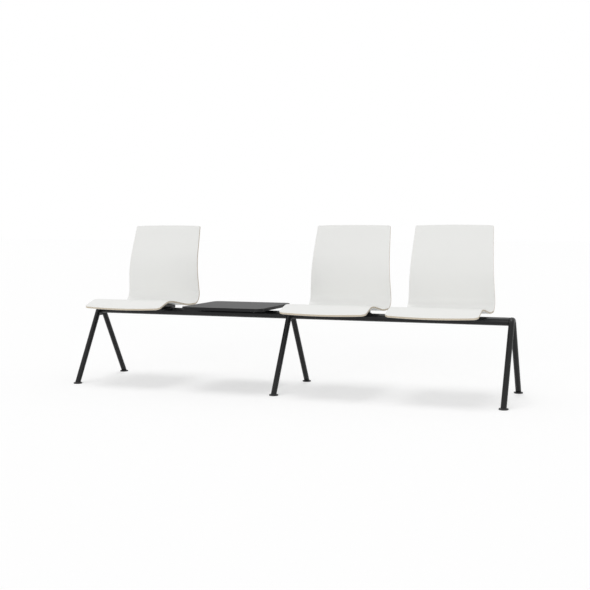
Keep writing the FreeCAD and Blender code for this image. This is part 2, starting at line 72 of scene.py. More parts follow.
# Studio
# A pale seamless floor under a wide overhead light and a low one from the front, with even white light
# from all round. To the eye and in reflections floor and surroundings are white, but for the shadows.
class Wire:
    """A socket of a node. Operators on it add Math nodes, and node() adds any other node beside it."""

    def __init__(self, socket):
        self.socket = socket

    def node(self, kind, settings, sockets, output=0):
        """Adds a node, with its settings first and then its sockets, and gives one of its outputs."""
        made = self.socket.id_data.nodes.new("ShaderNode" + kind)
        for name, value in settings.items():
            setattr(made, name, value)
        for name, value in sockets.items():
            plug_in(made.inputs[name], value)
        return Wire(made.outputs[output])

    def maths(self, operation, *values):
        """Adds a Math node that works on values and wires."""
        return self.node("Math", {"operation": operation}, dict(enumerate(values)))

    def __add__(self, other):
        return self.maths("ADD", self, other)

    def __sub__(self, other):
        return self.maths("SUBTRACT", self, other)

    def __rsub__(self, other):
        return self.maths("SUBTRACT", other, self)

    def __mul__(self, other):
        return self.maths("MULTIPLY", self, other)

    __radd__ = __add__
    __rmul__ = __mul__

    def between(self, low, high):
        """The colour low where this is 0 and the colour high where it is 1.

        A Mix node holds its colours in sockets 6 and 7 and gives the mixed one as output 2.
        """
        return self.node("Mix", {"data_type": "RGBA"}, {0: self, 6: low, 7: high}, output=2)


def plug_in(socket, value):
    """Feeds a socket from a wire, or sets it to a value."""
    if isinstance(value, Wire):
        socket.id_data.links.new(value.socket, socket)
    else:
        socket.default_value = value


def seen(surface):
    """1 for rays from the eye, in a reflection or through something clear, else 0."""
    eye = surface.node("LightPath", {}, {}, output="Is Camera Ray")
    glossy = surface.node("LightPath", {}, {}, output="Is Glossy Ray")
    clear = surface.node("LightPath", {}, {}, output="Is Transmission Ray")
    return eye.maths("MAXIMUM", eye, eye.maths("MAXIMUM", glossy, clear))


white = (1, 1, 1, 1)
surround_level = 0.57
floor_bounce_colour = (0.86, 0.86, 0.86, 1)
floor_shade_colour = (0.54, 0.54, 0.54, 1)
floor_glow = 0.475
floor_reach = 60.0
overhead_tilt = (math.radians(-7), math.radians(-8), 0)
overhead_spread = math.radians(28)
overhead_power = 1.02
front_tilt = (math.radians(88), 0, math.radians(12))
front_spread = math.radians(60)
front_power = 1.60

surroundings = bpy.data.worlds.new("surroundings")
surroundings.use_nodes = True
surface = Wire(surroundings.node_tree.nodes["World Output"].inputs["Surface"])
is_seen = seen(surface)
lighting = is_seen.node("Background", {}, {"Color": white, "Strength": surround_level})
backdrop = is_seen.node("Background", {}, {"Color": white, "Strength": 1.0})
shown = is_seen.node("MixShader", {}, {0: is_seen, 1: lighting, 2: backdrop})
plug_in(surface.socket, shown)
bpy.context.scene.world = surroundings

floor_finish = bpy.data.materials.new("pale_floor")
floor_finish.use_nodes = True
surface = Wire(floor_finish.node_tree.nodes["Material Output"].inputs["Surface"])
is_seen = seen(surface)
bounce = is_seen.node("BsdfDiffuse", {}, {"Color": floor_bounce_colour})
shade = is_seen.node("BsdfDiffuse", {}, {"Color": floor_shade_colour})
glow = is_seen.node("Emission", {}, {"Color": white, "Strength": floor_glow})
pale = is_seen.node("AddShader", {}, {0: shade, 1: glow})
shown = is_seen.node("MixShader", {}, {0: is_seen, 1: bounce, 2: pale})
plug_in(surface.socket, shown)

floor_mesh = bpy.data.meshes.new("floor")
corners = [(x * floor_reach, y * floor_reach, 0) for x, y in ((-1, -1), (1, -1), (1, 1), (-1, 1))]
floor_mesh.from_pydata(corners, [], [(0, 1, 2, 3)])
floor_mesh.materials.append(floor_finish)
floor = bpy.data.objects.new("floor", floor_mesh)
bpy.context.scene.collection.objects.link(floor)

for name, tilt, width, power in (("overhead", overhead_tilt, overhead_spread, overhead_power),
                                 ("front", front_tilt, front_spread, front_power)):
    light = bpy.data.lights.new(name, "SUN")
    light.angle = width
    light.energy = power
    lamp = bpy.data.objects.new(name, light)
    lamp.rotation_euler = tilt
    bpy.context.scene.collection.objects.link(lamp)


# A-frames
# Each is one 30 mm steel tube bent to an inverted V and cut level at both ends, then powder coated satin
# black together with what is welded to it. The coat has a fine grain and a faint orange peel.
def new_finish(name):
    """An empty finish, and the place on the object, in metres, that its patterns follow."""
    material = bpy.data.materials.new(name)
    material.use_nodes = True
    surface = Wire(material.node_tree.nodes["Material Output"].inputs["Surface"])
    return material, surface.node("TexCoord", {}, {}, output="Object")


def dress(material, sockets):
    """Sets the shader's sockets, each to a value or to a wire."""
    shader = material.node_tree.nodes["Principled BSDF"]
    for name, value in sockets.items():
        plug_in(shader.inputs[name], value)


def cloud(place, per_metre, detail=2.0):
    """Soft random pattern from 0 to 1, with about this many spots in a metre."""
    return place.node("TexNoise", {}, {"Vector": place, "Scale": per_metre, "Detail": detail})


def relief(height, depth):
    """Bump of the given depth in metres."""
    return height.node("Bump", {}, {"Height": height, "Distance": depth})


powder_coat, place = new_finish("black_powder_coat")
peel = cloud(place, 170.0)
grain = cloud(place, 1500.0)
patches = cloud(place, 6.0)
dress(powder_coat, {
    "Base Color": patches.between((0.0035, 0.0037, 0.0042, 1), (0.0050, 0.0052, 0.0058, 1)),
    "Roughness": 0.30 + 0.06 * grain + 0.05 * patches,
    "Specular IOR Level": 0.30,
    "Normal": relief(0.7 * peel + 0.3 * grain, 0.00006),
})


def skin(rings, loop=False):
    """Corners and faces of a surface through rings of points that all have the same number of points.

    One face closes each end, or else a loop joins the last ring to the first.
    """
    count = len(rings[0])
    points = [point for ring in rings for point in ring]
    faces = []
    steps = len(rings) if loop else len(rings) - 1
    for step in range(steps):
        here = step * count
        there = (step + 1) % len(rings) * count
        for side in range(count):
            after = (side + 1) % count
            faces.append((here + side, here + after, there + after, there + side))
    if not loop:
        faces.append(tuple(reversed(range(count))))
        faces.append(tuple(range(len(points) - count, len(points))))
    return points, faces


edge_sharp_angle = 35.0


def new_piece(name, points, faces, material, sharp_angle=edge_sharp_angle):
    """A smooth-shaded piece with edges kept sharp above an angle in degrees."""
    mesh = bpy.data.meshes.new(name)
    mesh.from_pydata(points, [], faces)
    mesh.materials.append(material)
    mesh.polygons.foreach_set("use_smooth", [True] * len(mesh.polygons))
    mesh.set_sharp_from_angle(angle=math.radians(sharp_angle))
    piece = bpy.data.objects.new(name, mesh)
    bpy.context.scene.collection.objects.link(piece)
    return piece


def stand_in(piece, body, node):
    """Puts a piece in the place of a solid, moving with a body."""
    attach(piece, body)
    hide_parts(node)


lengthwise = Vector((1, 0, 0))
upright = Vector((0, 0, 1))


def round_section(centre, along, radius, count, towards=lengthwise):
    """A ring of points round a centre, square to one direction and starting towards another.

    The radius is a length, or a function that gives one for a direction in turns.
    """
    upward = along.cross(towards).normalized()
    sideways = upward.cross(along)
    ring = []
    for number in range(count):
        turn = 2 * math.pi * number / count
        reach = radius(number / count) if callable(radius) else radius
        ring.append(centre + reach * (math.cos(turn) * sideways + math.sin(turn) * upward))
    return ring


leg_radius = 0.015
leg_wall = 0.002
leg_crossing_z = 0.448
leg_bend_radius = 0.036
leg_end_z = 0.008
foot_spread = 0.514
leg_plug_depth = 0.024
tube_sides = 48
bend_steps = 28
leg_slope = math.atan2(foot_spread / 2, leg_crossing_z - leg_end_z)


def frame_path(x):
    """Stations of an A-frame's centre line, each a point and a direction, from the front foot to the rear."""
    crossing = Vector((x, beam_y, leg_crossing_z))
    uphill = Vector((0, math.sin(leg_slope), math.cos(leg_slope)))
    downhill = Vector((0, math.sin(leg_slope), -math.cos(leg_slope)))
    leg_length = (leg_crossing_z - leg_end_z) / math.cos(leg_slope)
    bend_reach = leg_bend_radius / math.tan(leg_slope)
    bend_centre = crossing - Vector((0, 0, leg_bend_radius / math.sin(leg_slope)))
    stations = [(crossing - uphill * leg_length, uphill), (crossing - uphill * bend_reach, uphill)]
    half_turn = math.pi / 2 - leg_slope
    for step in range(1, bend_steps):
        turn = half_turn * (2 * step / bend_steps - 1)
        outward = Vector((0, math.sin(turn), math.cos(turn)))
        along = Vector((0, math.cos(turn), -math.sin(turn)))
        stations.append((bend_centre + outward * leg_bend_radius, along))
    stations.append((crossing + downhill * bend_reach, downhill))
    stations.append((crossing + downhill * leg_length, downhill))
    return stations


def cut_level(ring, along, height):
    """The ring's points moved along the tube to a level cut."""
    return [point + along * ((height - point.z) / along.z) for point in ring]


def leg_end(centre, along):
    """Rings at a leg's level end, from the outside of the tube to its bore and on up to the plug's top."""
    outside = round_section(centre, along, leg_radius, tube_sides)
    bore = round_section(centre, along, leg_radius - leg_wall, tube_sides)
    return [cut_level(outside, along, leg_end_z), cut_level(bore, along, leg_end_z),
            cut_level(bore, along, leg_end_z + leg_plug_depth)]


frame_names = ("left_frame", "middle_frame", "right_frame")
for frame_name in frame_names:
    stations = frame_path(middle(frame_name)[0])
    rings = list(reversed(leg_end(*stations[0])))
    rings += [round_section(centre, along, leg_radius, tube_sides) for centre, along in stations[1:-1]]
    rings += leg_end(*stations[-1])
    tube = new_piece(frame_name + "_tube", *skin(rings), powder_coat)
    stand_in(tube, "bench", frame_name)


# Web plates, spigots and beam
# Steel plates fill the crotch of each frame, and turned collars welded to the frames carry the two lengths
# of beam tube, which slide over their pins. All have the same powder coat.
def finish_nodes(material, *names):
    """Gives a finish to solids that are shown as they are."""
    for name in names:
        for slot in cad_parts[name].material_slots:
            slot.material = material


finish_nodes(powder_coat, "left_frame_web", "middle_frame_web", "right_frame_web", "left_beam", "right_beam")
finish_nodes(powder_coat, "left_spigot", "middle_left_spigot", "middle_right_spigot", "right_spigot")


# Welds
# The web plates and the spigots' collars are welded to the tube. A weld shows as a narrow rippled bead
# under the coat.
bead_sides = 10
bead_sharp_angle = 60.0
bead_end_size = 1 / 3
ripple_length = 0.0026
ripple_depth = 0.10
bead_step = 0.0007


def weld_bead(line, bead_radius, loop=False):
    """Rings of a rippled bead along close places, each a point and a direction square to the bead."""
    rings = []
    travelled = 0.0
    for number, (point, towards) in enumerate(line):
        before = line[number - 1][0] if number or loop else point
        after = line[(number + 1) % len(line)][0] if number < len(line) - 1 or loop else point
        along = (after - before).normalized()
        if number:
            travelled += (point - before).length
        ripple = abs(math.sin(math.pi * travelled / ripple_length))
        radius = bead_radius * (1 - ripple_depth + ripple_depth * ripple)
        if not loop and number in (0, len(line) - 1):
            radius = bead_radius * bead_end_size
        rings.append(round_section(point, along, radius, bead_sides, towards))
    return rings


def lay_bead(name, line, bead_radius, loop=False):
    """A bead as a piece of its own on the bench."""
    rings = weld_bead(line, bead_radius, loop)
    bead = new_piece(name, *skin(rings, loop), powder_coat, bead_sharp_angle)
    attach(bead, "bench")


web_thickness = 0.006
web_bottom_z = 0.370
web_bead_radius = 0.0022


def web_weld_line(x, side):
    """Line where one face of a web meets the inside of the tube, from one end of the web to the other."""
    face_x = x + side * web_thickness / 2
    inward = math.sqrt(leg_radius ** 2 - (web_thickness / 2) ** 2)
    corners = []
    for centre, along in frame_path(x):
        inside = Vector((0, -along.z, along.y)) * -inward
        corners.append(Vector((face_x, centre.y, centre.z)) + inside)
    line = []
    for start, end in zip(corners, corners[1:]):
        steps = max(1, round((end - start).length / bead_step))
        for step in range(steps):
            point = start + (end - start) * (step / steps)
            if point.z >= web_bottom_z:
                line.append((point, lengthwise))
    return line


for frame_name in frame_names:
    for side, face in ((-1, "left"), (1, "right")):
        line = web_weld_line(middle(frame_name)[0], side)
        lay_bead(frame_name + "_web_weld_" + face, line, web_bead_radius)

beam_low, beam_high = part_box("left_beam")
beam_radius = (beam_high.z - beam_low.z) / 2
collar_bead_radius = 0.0017
collar_bead_sunk = 0.0006
collar_bead_reach = 0.0136


def around_beam(x, radius, degrees):
    """A point beside the beam's axis, and the direction to it, at an angle from straight up."""
    off = Vector((0, math.sin(math.radians(degrees)), math.cos(math.radians(degrees))))
    return Vector((x, beam_y, beam_z)) + off * radius, off


def collar_weld_line(frame_x, side):
    """Loop round a spigot's collar where it meets the bent tube and the web plate."""
    centres = [Vector((centre.y, centre.z)) for centre, along in frame_path(frame_x)]
    count = round(2 * math.pi * beam_radius / bead_step)
    line = []
    for number in range(count):
        point, off = around_beam(frame_x, beam_radius, 360 * number / count)
        spot = Vector((point.y, point.z))
        distances = []
        for start, end in zip(centres, centres[1:]):
            share = (spot - start).dot(end - start) / (end - start).length_squared
            distances.append((start.lerp(end, min(max(share, 0), 1)) - spot).length)
        tube_reach = math.sqrt(max(leg_radius ** 2 - min(distances) ** 2, 0))
        reach = max(tube_reach, web_thickness / 2)
        point.x += side * min(reach - collar_bead_sunk, collar_bead_reach)
        line.append((point, off))
    return line


spigots = (("left_spigot", "left_frame", 1), ("middle_left_spigot", "middle_frame", -1),
           ("middle_right_spigot", "middle_frame", 1), ("right_spigot", "right_frame", -1))
for spigot, frame_name, side in spigots:
    line = collar_weld_line(middle(frame_name)[0], side)
    lay_bead(spigot + "_weld", line, collar_bead_radius, loop=True)


# Levelling feet
# Moulded black nylon discs, screwed into nylon plugs in the legs. The top slopes up to a neck at the leg's
# end, the rim is rounded, and the underside has a shallow groove, so that the disc bites at its edge.
nylon, place = new_finish("black_nylon")
pores = cloud(place, 2200.0)
scuffs = cloud(place, 90.0, 4.0)
dress(nylon, {
    "Base Color": scuffs.between((0.0150, 0.0150, 0.0160, 1), (0.0210, 0.0210, 0.0215, 1)),
    "Roughness": 0.46 + 0.12 * scuffs,
    "Specular IOR Level": 0.35,
    "Normal": relief(pores, 0.00004),
})


def turned(profile, x, y, count):
    """Rings of a turned piece round an upright axis, from its profile of radius and height."""
    return [round_section(Vector((x, y, z)), upright, radius, count) for radius, z in profile]


def profile_arc(centre_radius, centre_z, radius, start_degrees, end_degrees, steps=4):
    """Profile points on an arc, as pairs of radius and height."""
    points = []
    for step in range(steps + 1):
        turn = math.radians(start_degrees + (end_degrees - start_degrees) * step / steps)
        points.append((centre_radius + radius * math.cos(turn), centre_z + radius * math.sin(turn)))
    return points


pad_radius = 0.024
pad_rim_z = 0.0065
pad_neck_radius = 0.016
pad_edge_round = 0.0012
pad_groove_low = 0.011
pad_groove_high = 0.018
pad_groove_depth = 0.0008
pad_middle_radius = 0.0001
pad_rim_degrees = 70
pad_neck_degrees = 20
pad_sides = 64

pad_profile = [
    (pad_middle_radius, 0.0),
    (pad_groove_low, 0.0),
    (pad_groove_low + pad_groove_depth, pad_groove_depth),
    (pad_groove_high - pad_groove_depth, pad_groove_depth),
    (pad_groove_high, 0.0),
]
rim_middle = pad_radius - pad_edge_round
pad_profile += profile_arc(rim_middle, pad_edge_round, pad_edge_round, -90, 0)
pad_profile += profile_arc(rim_middle, pad_rim_z - pad_edge_round, pad_edge_round, 0, pad_rim_degrees)
neck_round = pad_edge_round / 2
pad_profile += profile_arc(pad_neck_radius - neck_round, leg_end_z - neck_round, neck_round,
                           pad_neck_degrees, 90)
pad_profile.append((pad_middle_radius, leg_end_z))

foot_names = [end + "_" + side + "_foot" for end in ("left", "middle", "right") for side in ("front", "rear")]
for foot in foot_names:
    x, y = middle(foot + "_pad")[:2]
    disc = new_piece(foot + "_disc", *skin(turned(pad_profile, x, y, pad_sides)), nylon)
    stand_in(disc, foot, foot + "_pad")
finish_nodes(nylon, "leg_plugs")


# Bright fasteners
# Studs, rivet nuts, set screws, inserts and wood screws are steel with a bright zinc plate, slightly milky
# and uneven. The studs of the feet are M8 with rolled threads, and their heads are moulded into the discs.
zinc, place = new_finish("zinc_plate")
milky = cloud(place, 260.0, 3.0)
dress(zinc, {
    "Base Color": milky.between((0.52, 0.53, 0.54, 1), (0.66, 0.66, 0.64, 1)),
    "Metallic": 1.0,
    "Roughness": 0.26 + 0.16 * milky,
})
finish_nodes(zinc, "beam_rivet_nuts", "beam_set_screws")
finish_nodes(zinc, "seat_1_inserts", "seat_2_inserts", "seat_3_inserts")

stud_radius = 0.004
stud_root_radius = 0.0033
stud_pitch = 0.00125
stud_head_radius = 0.008
stud_head_z = 0.0025
stud_head_height = 0.003
stud_top_z = 0.022
stud_tip_cut = 0.0004
stud_sides = 32
thread_steps = 6
thread_steepness = 1.25


def thread_radius(z, turn):
    """Radius of a rolled thread at a height, in a direction given in turns. It ends in a short cone."""
    phase = (z / stud_pitch - turn) % 1.0
    crest = min(thread_steepness * (1 - abs(2 * phase - 1)), 1.0)
    radius = stud_root_radius + (stud_radius - stud_root_radius) * crest
    return min(radius, stud_root_radius - stud_tip_cut + stud_top_z - z)


head_top_z = stud_head_z + stud_head_height
stud_head = [(stud_head_radius, stud_head_z), (stud_head_radius, head_top_z), (stud_root_radius, head_top_z)]
steps = round((stud_top_z - head_top_z) / stud_pitch * thread_steps)
for foot in foot_names:
    x, y = middle(foot + "_stud")[:2]
    rings = turned(stud_head, x, y, stud_sides)
    for step in range(1, steps + 1):
        z = head_top_z + (stud_top_z - head_top_z) * step / steps
        rings += turned([(lambda turn: thread_radius(z, turn), z)], x, y, stud_sides)
    stud = new_piece(foot + "_threaded_stud", *skin(rings), zinc)
    stand_in(stud, foot, foot + "_stud")


# Seat shells
# Each is a stack of beech veneers glued and pressed over a bent form between two white laminate faces,
# then trimmed and sanded, so the veneers show all round the edge between two thin white lines.
shell_thickness = 0.011
laminate_thickness = 0.001
shell_width = 0.476
shell_top_width = 0.430
taper_start_z = 0.478
seat_front_y = -0.251
seat_crest_z = 0.4725
lip_slope = 17.0
lip_length = 0.110
front_bow = 0.019
top_crown = 0.004
front_corner_radius = 0.026
top_corner_radius = 0.006
top_straight = 0.168
edge_round = 0.0012

# From front to top, each step is a straight length, or the radius of a bend and its turn in degrees.
shell_steps = [
    (lip_length,),
    (0.125, -lip_slope),
    (0.450, -9.5),
    (0.112,),
    (0.545, 9.5),
    (0.049,),
    (0.058, 95.0),
    (0.070,),
    (0.410, -23.5),
    (top_straight,),
]
station_spacing = 0.009
bend_station_degrees = 4.0
front_corner_steps = 8
top_corner_steps = 4
rim_columns = 4
middle_columns = 10


def heading(degrees):
    """The direction at an angle above straight back."""
    return Vector((0, math.cos(math.radians(degrees)), math.sin(math.radians(degrees))))


def shell_stations():
    """Points of the seat's upper surface with the direction off it and the distance from the front edge."""
    angle = lip_slope
    lip_rise = lip_length * math.sin(math.radians(lip_slope))
    crest_rise = shell_steps[1][0] * (1 - math.cos(math.radians(lip_slope)))
    point = Vector((0, beam_y + seat_front_y, seat_crest_z - lip_rise - crest_rise))
    stations = [(point, heading(angle + 90), 0.0)]
    travelled = 0.0
    for step in shell_steps:
        if len(step) == 1:
            count = max(1, round(step[0] / station_spacing))
            start = point
            for number in range(1, count + 1):
                point = start + heading(angle) * (step[0] * number / count)
                stations.append((point, heading(angle + 90), travelled + step[0] * number / count))
            travelled += step[0]
            continue
        radius, turn = step
        side = 1 if turn > 0 else -1
        centre = point + heading(angle + side * 90) * radius
        length = radius * math.radians(abs(turn))
        count = max(round(abs(turn) / bend_station_degrees), round(length / station_spacing), 2)
        for number in range(1, count + 1):
            turned_angle = angle + turn * number / count
            point = centre - heading(turned_angle + side * 90) * radius
            stations.append((point, heading(turned_angle + 90), travelled + length * number / count))
        angle += turn
        travelled += length
    return stations


surface_line = shell_stations()
shell_length = surface_line[-1][2]
shell_top_z = surface_line[-1][0].z


def surface_at(distance):
    """Point and outward direction of the seat's surface at a distance from the front edge."""
    for (start, start_off, start_at), (end, end_off, end_at) in zip(surface_line, surface_line[1:]):
        if distance <= end_at:
            share = (distance - start_at) / (end_at - start_at)
            return start.lerp(end, share), start_off.lerp(end_off, share).normalized()
    return surface_line[-1][0], surface_line[-1][1]


def half_width_at(distance):
    """Half the sheet's width, which tapers towards the top of the back."""
    height = surface_at(distance)[0].z
    if distance < shell_length / 2 or height < taper_start_z:
        return shell_width / 2
    share = (height - taper_start_z) / (shell_top_z - taper_start_z)
    return (shell_width + (shell_top_width - shell_width) * share) / 2


def spread(start, end, count):
    """Even steps from a start up to an end, without the end itself."""
    return [start + (end - start) * number / count for number in range(count)]


def rounded_corner(from_side, from_end, radius, inset):
    """New distances from side and end for a place near a corner, once the corner is rounded."""
    full = radius - inset
    u = (radius - from_side) / full
    v = (radius - from_end) / full
    return radius - full * u * math.sqrt(1 - v ** 2 / 2), radius - full * v * math.sqrt(1 - u ** 2 / 2)


def sag(width, depth, across):
    """How far an arc of a width and depth has fallen away at a distance from its middle."""
    radius = width ** 2 / 8 / depth
    return radius - math.sqrt(radius ** 2 - across ** 2)


def flat_outline(inset):
    """The unbent sheet as rows of places (across, distance), with its bow, crown and rounded corners.

    The whole outline stands back by the inset.
    """
    from_edge = spread(front_corner_radius, top_corner_radius, rim_columns)
    from_edge += spread(top_corner_radius, inset, rim_columns) + [inset]
    distances = spread(inset, front_corner_radius, front_corner_steps)
    distances += [at for point, off, at in surface_line
                  if front_corner_radius <= at < shell_length - top_corner_radius]
    distances += spread(shell_length - top_corner_radius, shell_length - inset, top_corner_steps)
    distances.append(shell_length - inset)
    rows = []
    for distance in distances:
        half = half_width_at(distance)
        right = [half - edge for edge in from_edge]
        left = [-edge for edge in reversed(right)]
        between = spread(left[-1], right[0], middle_columns)[1:]
        row = []
        for across in left + between + right:
            side = 1 if across > 0 else -1
            from_side = half - abs(across)
            at = distance
            from_top = shell_length - distance
            if max(at, from_side) < front_corner_radius:
                from_side, at = rounded_corner(from_side, at, front_corner_radius, inset)
            if max(from_top, from_side) < top_corner_radius:
                from_side, from_top = rounded_corner(from_side, from_top, top_corner_radius, inset)
                at = shell_length - from_top
            across = side * (half - from_side)
            if at < lip_length:
                at += sag(shell_width, front_bow, across) * (1 - at / lip_length)
            if shell_length - at < top_straight:
                at -= sag(shell_top_width, top_crown, across) * (1 - (shell_length - at) / top_straight)
            row.append((across, at))
        rows.append(row)
    return rows


sheet_rows = flat_outline(0.0)
row_count = len(sheet_rows)
column_count = len(sheet_rows[0])
rim_places = [(0, column) for column in range(column_count)]
rim_places += [(row, column_count - 1) for row in range(1, row_count)]
rim_places += [(row_count - 1, column) for column in range(column_count - 2, -1, -1)]
rim_places += [(row, 0) for row in range(row_count - 2, 0, -1)]
rim = [Vector(sheet_rows[row][column]) for row, column in rim_places]
rim_travelled = [0.0]
for here, there in zip(rim, rim[1:] + rim[:1]):
    rim_travelled.append(rim_travelled[-1] + (there - here).length)


def on_shell(centre_x, across, distance, depth):
    """The point of a shell for a place on the sheet and a depth below its face."""
    point, off = surface_at(min(max(distance, 0.0), shell_length))
    return Vector((centre_x + across, 0, 0)) + point - off * depth


def edge_inset(depth):
    """How far the rounded edge stands back from the full outline at a depth."""
    from_face = min(depth, shell_thickness - depth)
    if from_face >= edge_round:
        return 0.0
    return edge_round - math.sqrt(edge_round ** 2 - (edge_round - from_face) ** 2)


def pressed_layer(name, centre_x, depths, material):
    """One layer of a shell as a closed piece. Its map gives the distance along the edge and the depth."""
    points = []
    faces = []
    places = []
    for depth, flip in ((depths[0], False), (depths[-1], True)):
        base = len(points)
        for row in flat_outline(edge_inset(depth)):
            for across, at in row:
                points.append(on_shell(centre_x, across, at, depth))
                places.append((across, at))
        for row in range(row_count - 1):
            for column in range(column_count - 1):
                corner = base + row * column_count + column
                face = (corner, corner + 1, corner + column_count + 1, corner + column_count)
                faces.append(tuple(reversed(face)) if flip else face)
    sheet_points = len(points) // 2
    first = [row * column_count + column for row, column in rim_places]
    last = [sheet_points + corner for corner in first]
    loops = [first]
    for depth in depths[1:-1]:
        loops.append(list(range(len(points), len(points) + len(rim_places))))
        rows = flat_outline(edge_inset(depth))
        points += [on_shell(centre_x, *rows[row][column], depth) for row, column in rim_places]
    loops.append(last)
    wall_start = len(faces)
    count = len(rim_places)
    for upper, lower in zip(loops, loops[1:]):
        for number in range(count):
            after = (number + 1) % count
            faces.append((upper[after], upper[number], lower[number], lower[after]))
    piece = new_piece(name, points, faces, material)
    rims = (set(first), set(last))
    for edge in piece.data.edges:
        if any(rim.issuperset(edge.vertices) for rim in rims):
            edge.use_edge_sharp = True
    veneer = piece.data.uv_layers.new(name="edge")
    for face in piece.data.polygons:
        band, number = divmod(face.index - wall_start, count)
        for corner, loop in enumerate(face.loop_indices):
            if face.index >= wall_start:
                along = rim_travelled[number + (corner in (0, 3))]
                veneer.data[loop].uv = (along, depths[band + (corner in (2, 3))])
            else:
                veneer.data[loop].uv = places[face.vertices[corner] % sheet_points]
    return piece


white_laminate, place = new_finish("white_laminate")
texture = cloud(place, 900.0)
tone = cloud(place, 5.0)
dress(white_laminate, {
    "Base Color": tone.between((0.790, 0.792, 0.776, 1), (0.805, 0.807, 0.790, 1)),
    "Roughness": 0.40 + 0.06 * texture,
    "Specular IOR Level": 0.35,
    "Normal": relief(texture, 0.00003),
})

veneer_count = 7
core_thickness = shell_thickness - 2 * laminate_thickness
fibres_along = 55.0
fibres_across = 2400.0
fibre_shift = 7.3
glue_sharpness = 12.0
glue_strength = 0.6
edge_wood, place = new_finish("veneer_edge")
edge_map = place.node("UVMap", {"uv_map": "edge"}, {})
along_edge = edge_map.node("SeparateXYZ", {}, {0: edge_map}, output="X")
edge_depth = edge_map.node("SeparateXYZ", {}, {0: edge_map}, output="Y")
veneer = (edge_depth - laminate_thickness) * (veneer_count / core_thickness)
veneer_number = veneer.maths("FLOOR", veneer)
within = veneer.maths("FRACT", veneer)
crossed = veneer_number.maths("PINGPONG", veneer_number, 1.0)
facing = place.node("NewGeometry", {}, {}, output="Normal")
sideways = facing.node("SeparateXYZ", {}, {0: facing}, output="X")
beside = sideways * sideways
cut_across = crossed * beside + (1 - crossed) * (1 - beside)
fibre_place = {0: along_edge * fibres_along, 1: edge_depth * fibres_across, 2: veneer_number * fibre_shift}
fibres = place.node("CombineXYZ", {}, fibre_place)
streaks = fibres.node("TexNoise", {}, {"Vector": fibres, "Scale": 1.0, "Detail": 3.0})
pores = cloud(place, 1700.0)
long_grain = streaks.between((0.66, 0.60, 0.49, 1), (0.82, 0.765, 0.66, 1))
end_grain = pores.between((0.38, 0.31, 0.212, 1), (0.55, 0.46, 0.332, 1))
bond = within * (1 - within) * glue_sharpness
glue_line = 1 - bond.maths("MINIMUM", bond, 1.0)
cut_wood = cut_across.between(long_grain, end_grain)
dress(edge_wood, {
    "Base Color": (glue_strength * glue_line).between(cut_wood, (0.33, 0.25, 0.16, 1)),
    "Roughness": 0.48 + 0.12 * pores,
    "Specular IOR Level": 0.3,
    "Normal": relief(0.6 * streaks + 0.4 * pores - 0.5 * glue_line, 0.00008),
})

face_depths = [0.0, 0.0001, 0.00035, 0.0007, laminate_thickness]
core_depths = [laminate_thickness, edge_round, shell_thickness / 2, shell_thickness - edge_round,
               shell_thickness - laminate_thickness]
back_depths = [shell_thickness - depth for depth in reversed(face_depths)]
shell_layers = [
    ("face", face_depths, white_laminate, "white_laminate"),
    ("core", core_depths, edge_wood, "ply_core"),
    ("back_face", back_depths, white_laminate, "white_laminate"),
]
seat_names = ("seat_1", "seat_2", "seat_3")
for seat in seat_names:
    centre_x = middle(seat + "_core")[0]
    for layer_name, depths, material, slot in shell_layers:
        sheet = pressed_layer(seat + "_" + layer_name + "_sheet", centre_x, depths, material)
        stand_in(sheet, "bench", seat + "_" + layer_name)


# Brackets
# Under each seat, two steel saddles sit on the beam. Each carries an angle made of a rib and a thin flange
# that follows the shell. Rib, flange and saddle are welded, deburred and powder coated black.
bracket_front_y = -0.105
bracket_rear_y = 0.092
bracket_edge_round = 0.0007
flange_thickness = 0.003
flange_width = 0.036
flange_weld = 0.003
rib_thickness = 0.005
rib_bottom_z = 0.419
rib_corner_radius = 0.005
saddle_thickness = 0.004
saddle_length = 0.064
saddle_half_angle = 55.0
saddle_corner_radius = 0.005
saddle_bite = 0.001
saddle_seat_z = beam_z + beam_radius + saddle_thickness - saddle_bite
screw_offset = 0.019
key_hole_radius = 0.008
drill_height = 0.08
drill_sides = 40
rib_station_step = 0.004
saddle_station_step = 0.0018
station_shares = (0, 0.08, 0.3, 0.65, 1)
bracket_bead_radius = 0.0016
bracket_bead_off_rib = 0.0003
bracket_bead_end_degrees = 2


def eased(corners, steps=3):
    """Outline with each corner rounded. A corner is a point and how far its rounding reaches."""
    outline = []
    for number, (corner, reach) in enumerate(corners):
        before = (corners[number - 1][0] - corner).normalized() * reach
        after = (corners[(number + 1) % len(corners)][0] - corner).normalized() * reach
        for step in range(steps + 1):
            share = step / steps
            outline.append(corner + before * (1 - share) ** 2 + after * share ** 2)
    return outline


def end_stations(length, radius, step):
    """Places along a length, close together where its two ends are rounded."""
    close = [share * radius for share in station_shares]
    straight = length - 2 * radius
    count = round(straight / step)
    even = [radius + straight * number / count for number in range(1, count)]
    return close + even + [length - station for station in reversed(close)]


def rounding(from_end, radius):
    """How far a rounded end stands back from the full outline at a distance from that end."""
    short = max(radius - from_end, 0)
    return radius - math.sqrt(radius ** 2 - short ** 2)


def underside(y, depth):
    """Height of the shell at a depth below its face and a distance behind the beam's axis."""
    line = [point - off * depth for point, off, at in surface_line]
    for start, end in zip(line, line[1:]):
        if start.y <= beam_y + y <= end.y:
            return start.z + (end.z - start.z) * (beam_y + y - start.y) / (end.y - start.y)


